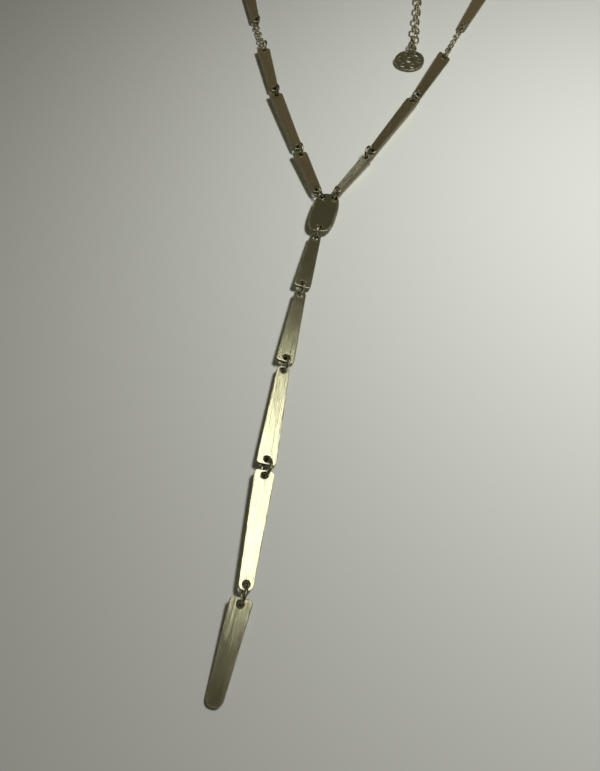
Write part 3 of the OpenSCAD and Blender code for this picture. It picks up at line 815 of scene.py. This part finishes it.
def ring_wire(metal):
    """The wire of the rings, of the clasp and of the eyelet."""
    return gold_wire(metal, "ring_wire", RINGS_DULL)


def chain_wire(metal):
    """The wire of the links."""
    return gold_wire(metal, "chain_wire", CHAINS_DULL)


def material(maker):
    """The material of a maker, made once."""
    return bpy.data.materials.get(maker.__name__) or maker(bpy.context.scene.necklace_metal)


# ---------------------------------------------------------------- operators


def add_piece(node, shell, finish):
    """Puts a welded shell in the scene in place of its CAD node."""
    mesh = outward(shell.mesh(node + "_metal"))
    mesh.materials.append(finish)
    piece = bpy.data.objects.new(node + "_metal", mesh)
    bpy.context.scene.collection.objects.link(piece)
    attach(piece, BODY)
    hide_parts(node)


# Where the cut of the first ring lies, and how far round the next one's is, in radians
FIRST_CUT, NEXT_CUT = 1.3, 0.9


class NECKLACE_OT_bars(bpy.types.Operator):
    """Makes the tapered bars of the drop and of both sides of the neck"""

    bl_idname = "necklace.bars"
    bl_label = "Bars"

    def execute(self, context):
        sizes = context.scene.necklace_plates
        finish = material(brushed_plate)
        for number, node in enumerate(BARS, 1):
            add_piece(node, bar_shell(node, sizes, number), finish)
        return {"FINISHED"}


class NECKLACE_OT_connector(bpy.types.Operator):
    """Makes the flat oval connector"""

    bl_idname = "necklace.connector"
    bl_label = "Connector"

    def execute(self, context):
        shell = connector_shell(context.scene.necklace_plates, 0)
        add_piece("connector", shell, material(brushed_plate))
        return {"FINISHED"}


class NECKLACE_OT_rings(bpy.types.Operator):
    """Makes the jump rings, each closed at a fine cut"""

    bl_idname = "necklace.rings"
    bl_label = "Rings"

    def execute(self, context):
        wires = context.scene.necklace_wires
        finish = material(ring_wire)
        across = {"end_ring": wires.end_ring, "charm_ring": wires.charm_ring}
        for number, node in enumerate(RINGS):
            radius = (across.get(node, wires.ring) - wires.ring_wire) / 2
            gap = wires.seam / radius
            start = FIRST_CUT + NEXT_CUT * number + gap / 2
            shell = Shell()
            path, out, through = circle_path(radius, start, 2 * math.pi - gap, RING_STEPS + 1, False)
            tube(shell, path, out, through, wires.ring_wire, wires.around, False, number,
                 lie(node_points(node)))
            add_piece(node, shell, finish)
        return {"FINISHED"}


class NECKLACE_OT_chains(bpy.types.Operator):
    """Makes the links of the fine chains and of the extender"""

    bl_idname = "necklace.chains"
    bl_label = "Chains"

    def execute(self, context):
        wires = context.scene.necklace_wires
        finish = material(chain_wire)
        fine = (wires.link, wires.link_width, wires.link_wire)
        coarse = (wires.extender, wires.extender_width, wires.extender_wire)
        for node in [*FINE_CHAINS, "extender_chain"]:
            size, width, wire = coarse if node == "extender_chain" else fine
            path, out, through = link_path(size, width, wire, LINK_POINTS)
            shell = Shell()
            for number, part in enumerate(loose_parts(node)):
                tube(shell, path, out, through, wire, wires.around_link, True, number, lie(part))
            add_piece(node, shell, finish)
        return {"FINISHED"}


class NECKLACE_OT_ends(bpy.types.Operator):
    """Makes the pierced end charm with its loop, and the ring clasp with its eyelet"""

    bl_idname = "necklace.ends"
    bl_label = "Charm and clasp"

    def execute(self, context):
        scene = context.scene
        charm = charm_shell(scene.necklace_charm, scene.necklace_wires)
        add_piece("end_charm", charm, material(brushed_plate))
        clasp = clasp_shell(scene.necklace_wires)
        add_piece("ring_clasp", clasp, material(ring_wire))
        return {"FINISHED"}


FLOOR_REACH = 1.5
FLOOR_ROUGH = 0.9
LAMP_COLOUR = (1.0, 0.995, 0.955)
# Where each lamp stands and what it shines at
LAMP_AT, LAMP_AIM = (0.110, -0.014, 0.225), (0.110, 0.032, 0)
PANEL_AT, PANEL_AIM = (0.060, -0.034, 0.225), (0.060, -0.034, 0)
CARD_AT, CARD_AIM = (0.198, 0.541, 0.282), (0, 0.05, 0)
CAMERA_AT = (-0.0023, -0.119, 0.1148)
CAMERA_TURN = (29.15, 2.79, -0.57)
SENSOR, LENS, NEAREST, FARTHEST = 36.0, 26.15, 0.005, 20


class NECKLACE_OT_stage(bpy.types.Operator):
    """Makes the pale surface, the lamps and the camera"""

    bl_idname = "necklace.stage"
    bl_label = "Stage"

    def light(self, name, watts, width, size, where, aim, rgb):
        """An oval lamp at a place, turned to shine at another."""
        light = bpy.data.lights.new(name, "AREA")
        light.energy, light.shape = watts, "ELLIPSE"
        light.size, light.size_y = width, size
        light.color = rgb
        lamp = bpy.data.objects.new(name, light)
        lamp.location = where
        lamp.rotation_euler = (Vector(aim) - Vector(where)).to_track_quat("-Z", "Y").to_euler()
        bpy.context.scene.collection.objects.link(lamp)
        return lamp

    def floor(self, rgb):
        """A flat square under the necklace"""
        shell = Shell()
        reach = np.array([-FLOOR_REACH, FLOOR_REACH])
        x, y = np.meshgrid(reach, reach, indexing="ij")
        shell.grid(np.stack([x, y, np.full_like(x, FLOOR)], -1), np.stack([x, y], -1))
        mesh = shell.mesh("surface")
        mesh.materials.append(Paint("surface").surface(Base_Color=tuple(rgb), Roughness=FLOOR_ROUGH))
        floor = bpy.data.objects.new("surface", mesh)
        bpy.context.scene.collection.objects.link(floor)
        return floor

    def execute(self, context):
        scene = context.scene
        stage = scene.necklace_stage
        floor = self.floor(stage.surface)
        lamp = self.light("lamp", stage.lamp, stage.lamp_width, stage.lamp_length, LAMP_AT, LAMP_AIM,
                          LAMP_COLOUR)
        lamp.visible_glossy = False
        panel = self.light("panel", stage.panel, stage.panel_width, stage.panel_length, PANEL_AT,
                           PANEL_AIM, LAMP_COLOUR)
        panel.visible_diffuse = False
        card = self.light("card", stage.card, stage.card_width, stage.card_height, CARD_AT, CARD_AIM,
                          tuple(stage.card_colour))
        card.visible_diffuse = False
        world = bpy.data.worlds.new("room")
        world.use_nodes = True
        world.node_tree.nodes["Background"].inputs["Color"].default_value = (*stage.air, 1)
        scene.world = world
        lens = bpy.data.cameras.new("camera")
        lens.sensor_width, lens.lens = SENSOR, LENS
        lens.clip_start, lens.clip_end = NEAREST, FARTHEST
        camera = bpy.data.objects.new("camera", lens)
        camera.location = CAMERA_AT
        camera.rotation_euler = [math.radians(a) for a in CAMERA_TURN]
        scene.collection.objects.link(camera)
        scene.camera = camera
        scene.view_settings.view_transform = "Standard"
        return {"FINISHED"}


class NECKLACE_PT_panel(bpy.types.Panel):
    """Lists the pieces of the necklace with their sizes and colours"""

    bl_label = "Y necklace"
    bl_idname = "NECKLACE_PT_panel"
    bl_space_type = "VIEW_3D"
    bl_region_type = "UI"
    bl_category = "Necklace"

    def draw(self, context):
        for operator in OPERATORS:
            self.layout.operator(operator.bl_idname)
        for name, group in GROUPS.items():
            box = self.layout.box()
            for key in group.__annotations__:
                box.prop(getattr(context.scene, name), key)


OPERATORS = [NECKLACE_OT_connector, NECKLACE_OT_bars, NECKLACE_OT_rings, NECKLACE_OT_chains,
             NECKLACE_OT_ends, NECKLACE_OT_stage]
GROUPS = {
    "necklace_plates": NecklacePlates,
    "necklace_charm": NecklaceCharm,
    "necklace_wires": NecklaceWires,
    "necklace_metal": NecklaceMetal,
    "necklace_stage": NecklaceStage,
}


def register():
    for kind in [*GROUPS.values(), *OPERATORS, NECKLACE_PT_panel]:
        bpy.utils.register_class(kind)
    for name, group in GROUPS.items():
        setattr(bpy.types.Scene, name, PointerProperty(type=group))


def unregister():
    for name in GROUPS:
        delattr(bpy.types.Scene, name)
    for kind in reversed([*GROUPS.values(), *OPERATORS, NECKLACE_PT_panel]):
        bpy.utils.unregister_class(kind)


def main():
    register()
    bpy.ops.necklace.connector()
    bpy.ops.necklace.bars()
    bpy.ops.necklace.rings()
    bpy.ops.necklace.chains()
    bpy.ops.necklace.ends()
    bpy.ops.necklace.stage()


if __name__ == "__main__":
    main()
